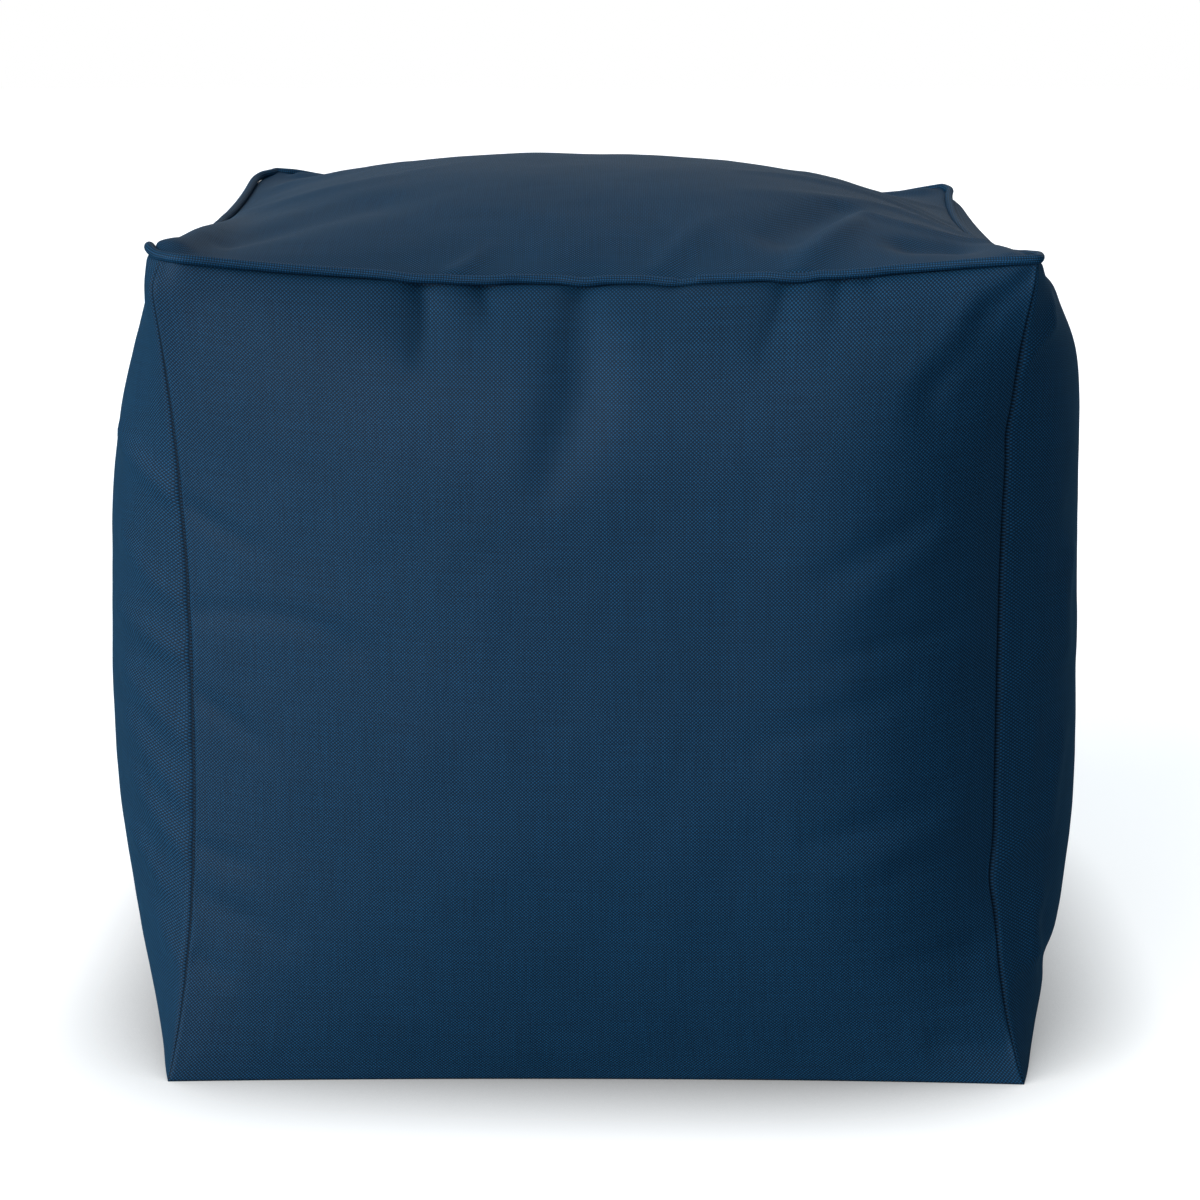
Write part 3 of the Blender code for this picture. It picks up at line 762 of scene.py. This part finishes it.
def plain_weave():
    """A plain weave in cloth coordinates: yarns pass over and under each other by turns.

    Height is 0 between the yarns and 1 on their backs, Over is 1 where an upright yarn lies on
    top and 0 where a level one does, Relief is the height with the upright yarns standing a little
    prouder, and Streak is the thick and thin places of single yarns.
    """
    name = "Plain weave"
    if name in bpy.data.node_groups:
        return bpy.data.node_groups[name]
    outputs = ("Height", "Over", "Relief", "Streak")
    group, given, result = new_group(name, ("Warp pitch", "Weft pitch"), outputs)
    cloth = given.outputs["Cloth"]
    # Yarns wander a little from their straight lines
    wander = add(group, "TexNoise", Vector=cloth, Scale=BENDS, Detail=1.0)
    shift = add(group, "VectorMath")
    shift.operation = "MULTIPLY_ADD"
    for socket, value in zip(shift.inputs, (wander.outputs["Color"], (WANDER, WANDER, 0.0), cloth)):
        put(group, socket, value)
    split = add(group, "SeparateXYZ", Vector=shift.outputs[0])
    warp = calc(group, "DIVIDE", split.outputs["X"], given.outputs["Warp pitch"])
    weft = calc(group, "DIVIDE", split.outputs["Y"], given.outputs["Weft pitch"])
    warp, weft = (calc(group, "SINE", calc(group, "MULTIPLY", count, pi)) for count in (warp, weft))
    wave = calc(group, "MULTIPLY", warp, weft)
    height = calc(group, "POWER", calc(group, "ABSOLUTE", wave), YARN_PROFILE)
    prouder = remap(group, wave, -1.0, 1.0, 0.0, PROUD_WARP)
    # A yarn keeps its own thickness for a few centimetres: noise drawn out along it
    upright = clouds(group, scaled(group, cloth, WARP_STREAKS), 1.0)
    level = clouds(group, scaled(group, cloth, WEFT_STREAKS), 1.0)
    fill_in(
        group,
        result,
        Height=height,
        Over=remap(group, wave, -CROSSING, CROSSING),
        Relief=calc(group, "MULTIPLY_ADD", height, 1.0 - PROUD_WARP, prouder),
        Streak=calc(group, "ADD", upright, calc(group, "SUBTRACT", level, 0.5)),
    )
    return group


def seam_shade():
    """Painted shade along the seams: how much darker the cloth's colour is painted near the edge of its
    panel, from the panels' places in the map.
    """
    name = "Seam shade"
    if name in bpy.data.node_groups:
        return bpy.data.node_groups[name]
    group, given, result = new_group(name, ("Reach", "Tone"), ("Light",))
    split = add(group, "SeparateXYZ", Vector=given.outputs["Cloth"])
    # Panels lie a metre apart, so the nearest whole number is the middle of a panel
    across = calc(group, "SUBTRACT", split.outputs["X"], calc(group, "ROUND", split.outputs["X"]))
    up = split.outputs["Y"]
    furthest = calc(group, "MAXIMUM", calc(group, "ABSOLUTE", across), calc(group, "ABSOLUTE", up))
    to_edge = calc(group, "SUBTRACT", HALF, furthest)
    light = remap(group, to_edge, 0.0, given.outputs["Reach"], given.outputs["Tone"])
    fill_in(group, result, Light=light)
    return group


YARN_RISE = 0.8  # height on a yarn's side from which it shows its own colour; below it the colour falls to the painted shade between the yarns
STREAKS = 0.14  # how much paler or darker than the rest a single yarn can be
STREAK_ENDS = (0.2, 0.8)  # the numbers at which it is darkest and palest
PATCHES = 0.04  # the same for a patch of the cloth
PATCH_ENDS = (0.3, 0.7)
PATCH_SCALE = 9.0  # patches in a metre
GAP_ROUGH = 0.1  # how much rougher the cloth is down between its yarns
SEAM_ROUGH = 1.2  # sum of roughness and painted seam shade beside a seam, so that cloth painted as shaded doesn't shine


def woven_material(name, settings, turn=0.0, lift=1.0, seams=False):
    """Cloth that reads the piece's own UV map; turn lays its yarns at an angle to the map, and with seams
    set, shade is painted into its colour beside the seams.
    """
    material = bpy.data.materials.new(name)
    material.use_nodes = True
    tree = material.node_tree
    coordinates = add(tree, "UVMap")
    coordinates.uv_map = "cloth"
    laid = scaled(tree, coordinates.outputs["UV"], (1.0, 1.0, 1.0), turn)
    pitches = {"Warp_pitch": settings.warp_pitch, "Weft_pitch": settings.weft_pitch}
    weave = add_group(tree, plain_weave(), Cloth=laid, **pitches).outputs

    # Painted light: a paler copy of the tone for the upright yarns stands in for their highlights, a
    # darker copy for the level yarns for their shade
    weft, warp, gap = (
        dimmed(settings.tone, lift * part)
        for part in (1.0 - settings.contrast, 1.0 + settings.contrast, settings.gap)
    )
    yarn = blend_colours(tree, weave["Over"], weft, warp)
    # painted shade between the yarns: low on each yarn's side the colour falls to the darker gap tone
    body = blend_colours(tree, remap(tree, weave["Height"], 0.0, YARN_RISE), gap, yarn)
    streak = remap(tree, weave["Streak"], *STREAK_ENDS, 1.0 - STREAKS, 1.0 + STREAKS)
    cloud = clouds(tree, laid, PATCH_SCALE, 3.0)
    patches = remap(tree, cloud, *PATCH_ENDS, 1.0 - PATCHES, 1.0 + PATCHES)
    light = calc(tree, "MULTIPLY", streak, patches)
    roughest = settings.roughness + GAP_ROUGH
    rough = remap(tree, weave["Height"], 0.0, 1.0, roughest, settings.roughness)
    # painted shade: the colour is darkened and the cloth made rougher where it turns into a seam
    if seams:
        edges = {"Reach": settings.seam_reach, "Tone": settings.painted_seam_shade}
        shade = add_group(tree, seam_shade(), Cloth=coordinates.outputs["UV"], **edges).outputs["Light"]
        light = calc(tree, "MULTIPLY", light, shade)
        rough = calc(tree, "MAXIMUM", rough, calc(tree, "SUBTRACT", SEAM_ROUGH, shade))
    tone = add(tree, "VectorMath")
    tone.operation = "SCALE"
    put(tree, tone.inputs[0], body)
    fill_in(tree, tone, Scale=light)
    relief = add(tree, "Bump", Strength=1.0, Distance=settings.relief, Height=weave["Relief"])
    fill_in(
        tree,
        tree.nodes["Principled BSDF"],
        Base_Color=tone.outputs[0],
        Roughness=rough,
        Normal=relief.outputs["Normal"],
        Specular_IOR_Level=settings.gloss,
    )
    return material


PAPER_GRAIN = 3.0  # clouds in a metre of the floor's paper
PAPER_SHADE = 0.99  # how pale the darkest of them is
PAPER_ROUGH = 0.9


def floor_material(settings):
    """Pale paper, soft shade on it beside the footstool, and darker where it lights the footstool."""
    material = bpy.data.materials.new("pale_floor")
    material.use_nodes = True
    tree = material.node_tree
    grain = clouds(tree, add(tree, "TexCoord").outputs["Object"], PAPER_GRAIN)
    tone = blend_colours(tree, grain, settings.floor_tone, dimmed(settings.floor_tone, PAPER_SHADE))
    beside = add(tree, "AmbientOcclusion", Distance=settings.contact_reach, Color=tone)
    paper = fill_in(
        tree,
        tree.nodes["Principled BSDF"],
        Base_Color=beside.outputs["Color"],
        Emission_Color=beside.outputs["AO"],
        Emission_Strength=settings.floor_glow,
        Roughness=PAPER_ROUGH,
        Specular_IOR_Level=0.0,
    )
    lighting = add(tree, "BsdfDiffuse", Color=settings.floor_seen)
    fill_in(tree, tree.nodes["Material Output"], Surface=for_camera(tree, paper, lighting))
    return material


# --------------------------------------------------------------------------------------- pieces


def link(name, data):
    made = bpy.data.objects.new(name, data)
    bpy.context.scene.collection.objects.link(made)
    return made


def mesh_piece(name, bm, material):
    mesh = bpy.data.meshes.new(name)
    bm.to_mesh(mesh)
    bm.free()
    mesh.shade_smooth()
    mesh.materials.append(material)
    return link(name, mesh)


def cover_cage(divisions):
    """A cube from -1 to 1 whose five showing faces are grids, and the places of its vertices."""
    bm = bmesh.new()
    bmesh.ops.create_cube(bm, size=2.0)
    for axis, cells in enumerate(divisions):
        along = [edge for edge in bm.edges if abs(edge.verts[0].co[axis] - edge.verts[1].co[axis]) > 1.0]
        bmesh.ops.subdivide_edges(bm, edges=along, cuts=cells - 1, use_grid_fill=True)
    underside = [face for face in bm.faces if face.normal.z < -0.5]
    bmesh.ops.dissolve_faces(bm, faces=underside, use_verts=False)
    return bm, np.array([vert.co[:] for vert in bm.verts])


def move_vertices(bm, points):
    for vert, point in zip(bm.verts, points):
        vert.co = point
    bm.normal_update()


def make_cover(settings, cloth):
    bm, cube = cover_cage(settings.divisions)
    places = graded(cube, settings)
    move_vertices(bm, cover_points(places) + middle_shift())
    points = np.array([vert.co[:] for vert in bm.verts])
    normals = np.array([vert.normal[:] for vert in bm.verts])
    heights = swells(points, places) - seam_rolls(places, settings.seam_roll, settings.piped_roll)
    points = points + heights[:, None] * normals
    on_floor = places[:, 2] < -ON_EDGE
    points[on_floor, 2] = 0.0
    points[:, 2] = np.maximum(points[:, 2], 0.0)
    move_vertices(bm, points)
    piece = mesh_piece("cover", bm, woven_material("woven_cover", cloth, seams=True))
    cover_uvs(piece.data, places)
    return piece


# The top seam runs round from the front's right half: each row is a stretch of one seam, with the
# places on it where the stretch starts and ends, and the side panel below it
Stretch = namedtuple("Stretch", "panel start stop")
TOP_ROUND = (
    Stretch("front", None, 1.0),
    Stretch("right", -1.0, 1.0),
    Stretch("back", 1.0, -1.0),
    Stretch("left", 1.0, -1.0),
    Stretch("front", -1.0, None),
)
LAP_STEP = 0.0015  # how far along the piping its inner end takes to grow thinner
LAP_DROP = 0.0005  # how much lower the inner end lies
CORNER_REACH = 0.012  # how far from a corner the piping starts to be tucked in
SEAM_PROBE = 0.012  # how far into a panel its slope is measured, as a part of half its width
STRETCH_POINTS = 400  # places at which each stretch is measured
LINE_PASSES = 12  # rounds of smoothing along the piping's line
THICKNESS_SPREAD = 0.03  # how much thicker or thinner than the rest the piping gets
THICKNESS_SPACING = 0.012  # and how far apart its thick places are
WELD = 1e-6  # points closer than this are joined


def top_seam(panel, along):
    """Points on the top seam over a side panel, and the direction that points out of the seam."""
    side = 1.0 if panel in ("back", "right") else -1.0
    edge = np.full_like(along, side)
    inner = edge - side * SEAM_PROBE
    level = np.ones_like(along)
    if panel in ("front", "back"):
        seam, above = (np.stack((along, row, level), 1) for row in (edge, inner))
    else:
        seam, above = (np.stack((row, along, level), 1) for row in (edge, inner))
    below = seam - np.array((0.0, 0.0, SEAM_PROBE))
    points = cover_points(seam)
    out = points - (cover_points(below) + cover_points(above)) / 2.0
    return points, out / np.linalg.norm(out, axis=1)[:, None]


def resampled(points, step):
    """The same line with its points this far apart."""
    lengths = np.linalg.norm(np.diff(points, axis=0), axis=1)
    travelled = np.concatenate(([0.0], np.cumsum(lengths)))
    count = max(int(round(travelled[-1] / step)), 2)
    wanted = np.linspace(0.0, travelled[-1], count + 1)
    return np.stack([np.interp(wanted, travelled, column) for column in points.T], 1)


def smoothed(points, passes):
    for _ in range(passes):
        points[1:-1] = (points[:-2] + 2.0 * points[1:-1] + points[2:]) / 4.0
    return points


def piping_line(settings):
    """The middle of the piping, from its outer end round the top to the end that tucks under."""
    line = []
    for stretch in TOP_ROUND:
        start = settings.lap_start / HALF if stretch.start is None else stretch.start
        stop = (settings.lap_start + settings.tucked) / HALF if stretch.stop is None else stretch.stop
        along = np.linspace(start, stop, STRETCH_POINTS)
        seam, out = top_seam(stretch.panel, along)
        near_corner = np.exp(-((HALF * (1.0 - np.abs(along)) / CORNER_REACH) ** 2))
        off = settings.seated - settings.corner_tuck * near_corner
        line.append(seam + out * off[:, None])
    line = np.concatenate(line) + middle_shift()
    return smoothed(resampled(line, settings.step), LINE_PASSES)


def across_line(line):
    """Unit vectors out of the line sideways and upwards, at each point."""
    along = np.gradient(line, axis=0)
    along /= np.linalg.norm(along, axis=1)[:, None]
    level = np.cross(along, (0.0, 0.0, 1.0))
    level /= np.linalg.norm(level, axis=1)[:, None]
    return level, np.cross(level, along)


def make_piping(settings, cloth):
    line = piping_line(settings)
    level, upward = across_line(line)
    rings, sides = len(line), settings.sides
    bm = bmesh.new()
    bmesh.ops.create_grid(bm, x_segments=rings - 1, y_segments=sides, size=1.0)
    uv_layer = bm.loops.layers.uv.new("cloth")
    radius = settings.diameter / 2.0
    turn_length = 2.0 * pi * radius
    spot = {}
    for vert in bm.verts:
        ring = int(round((vert.co.x + 1.0) / 2.0 * (rings - 1)))
        side = int(round((vert.co.y + 1.0) / 2.0 * sides))
        spot[vert] = (ring, side)
    for face in bm.faces:
        for loop in face.loops:
            ring, side = spot[loop.vert]
            loop[uv_layer].uv = (ring * settings.step, side / sides * turn_length)
    inner_end = settings.lap_start + settings.tucked - settings.lap_notch
    thin = smooth_step((inner_end - (rings - 1 - np.arange(rings)) * settings.step) / LAP_STEP)
    for vert, (ring, side) in spot.items():
        angle = 2.0 * pi * side / sides
        swell = 1.0 + THICKNESS_SPREAD * noise.noise(Vector(line[ring]) / THICKNESS_SPACING)
        size = radius * swell * (1.0 - settings.thinner * thin[ring])
        out = level[ring] * cos(angle) + upward[ring] * sin(angle)
        vert.co = line[ring] + out * size - upward[ring] * LAP_DROP * thin[ring]
    bmesh.ops.remove_doubles(bm, verts=bm.verts, dist=WELD)
    bmesh.ops.holes_fill(bm, edges=[edge for edge in bm.edges if edge.is_boundary], sides=0)
    bmesh.ops.recalc_face_normals(bm, faces=bm.faces)
    # piping is cut at an angle to the weave, and its stretched cloth is a little paler
    return mesh_piece("piping", bm, woven_material("woven_piping", cloth, turn=pi / 4.0, lift=1.1))


def make_floor(settings):
    bm = bmesh.new()
    bmesh.ops.create_grid(bm, x_segments=1, y_segments=1, size=settings.floor_size / 2.0)
    return mesh_piece("floor", bm, floor_material(settings))


def make_sky(tone, strength):
    """Even white for the camera, and soft light from all round for everything else."""
    world = bpy.data.worlds.new("studio")
    world.use_nodes = True
    tree = world.node_tree
    tree.nodes.clear()
    seen = add(tree, "Background", Color=(1.0, 1.0, 1.0, 1.0))
    around = add(tree, "Background", Color=tone, Strength=strength)
    add(tree, "OutputWorld", Surface=for_camera(tree, seen, around))
    bpy.context.scene.world = world


def make_lamps(strength):
    for lamp in LAMPS:
        light = bpy.data.lights.new(lamp.name, "SUN")
        light.angle = radians(lamp.width)
        light.energy = strength * lamp.strength
        made = link(lamp.name, light)
        turn, climb = radians(lamp.turn), radians(lamp.climb)
        towards = Vector((sin(turn) * cos(climb), -cos(turn) * cos(climb), sin(climb)))
        made.rotation_euler = towards.to_track_quat("Z", "Y").to_euler()


def make_camera():
    camera = bpy.data.cameras.new("camera")
    camera.lens = CAMERA_LENS
    camera.sensor_width = CAMERA_SENSOR
    made = link("camera", camera)
    made.location = CAMERA_PLACE
    made.rotation_euler = (pi / 2.0 - CAMERA_TILT, 0.0, CAMERA_TURN)
    bpy.context.scene.camera = made


# ------------------------------------------------------------------------------------ operators


class FOOTSTOOL_OT_cover(bpy.types.Operator):
    """Make the filled cover from its six panels"""

    bl_idname = "footstool.cover"
    bl_label = "Make the cover"

    def execute(self, context):
        settings = context.scene.footstool_cover
        piece = make_cover(settings, context.scene.footstool_cloth)
        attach(piece, BODY)
        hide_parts("bag")
        return {"FINISHED"}


class FOOTSTOOL_OT_piping(bpy.types.Operator):
    """Sew the round piping in along the top edge"""

    bl_idname = "footstool.piping"
    bl_label = "Sew in the piping"

    def execute(self, context):
        piece = make_piping(context.scene.footstool_piping, context.scene.footstool_cloth)
        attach(piece, BODY)
        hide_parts("top_piping")
        return {"FINISHED"}


class FOOTSTOOL_OT_stage(bpy.types.Operator):
    """Set up the floor, the soft light and the camera"""

    bl_idname = "footstool.stage"
    bl_label = "Set up the studio"

    def execute(self, context):
        settings = context.scene.footstool_stage
        make_floor(settings)
        make_sky(settings.sky_tone, settings.sky)
        make_lamps(settings.lamps)
        make_camera()
        context.scene.view_settings.view_transform = "Standard"
        return {"FINISHED"}


class FOOTSTOOL_PT_panel(bpy.types.Panel):
    """Sizes, colours and steps of the footstool"""

    bl_label = "Bean bag footstool"
    bl_space_type = "VIEW_3D"
    bl_region_type = "UI"
    bl_category = "Footstool"

    def draw(self, context):
        scene = context.scene
        for title, settings, operator in (
            ("Cover", scene.footstool_cover, FOOTSTOOL_OT_cover),
            ("Piping", scene.footstool_piping, FOOTSTOOL_OT_piping),
            ("Studio", scene.footstool_stage, FOOTSTOOL_OT_stage),
            ("Cloth", scene.footstool_cloth, None),
        ):
            box = self.layout.box()
            box.label(text=title)
            for name in settings.bl_rna.properties.keys():
                if name not in ("rna_type", "name"):
                    box.prop(settings, name)
            if operator:
                box.operator(operator.bl_idname)


SETTINGS = {
    "footstool_cloth": ClothSettings,
    "footstool_cover": CoverSettings,
    "footstool_piping": PipingSettings,
    "footstool_stage": StageSettings,
}
CLASSES = (
    *SETTINGS.values(),
    FOOTSTOOL_OT_cover,
    FOOTSTOOL_OT_piping,
    FOOTSTOOL_OT_stage,
    FOOTSTOOL_PT_panel,
)


def register():
    for cls in CLASSES:
        bpy.utils.register_class(cls)
    for name, cls in SETTINGS.items():
        setattr(bpy.types.Scene, name, PointerProperty(type=cls))


def unregister():
    for name in SETTINGS:
        delattr(bpy.types.Scene, name)
    for cls in reversed(CLASSES):
        bpy.utils.unregister_class(cls)


def main():
    register()
    bpy.ops.footstool.cover()
    bpy.ops.footstool.piping()
    bpy.ops.footstool.stage()


if __name__ == "__main__":
    main()
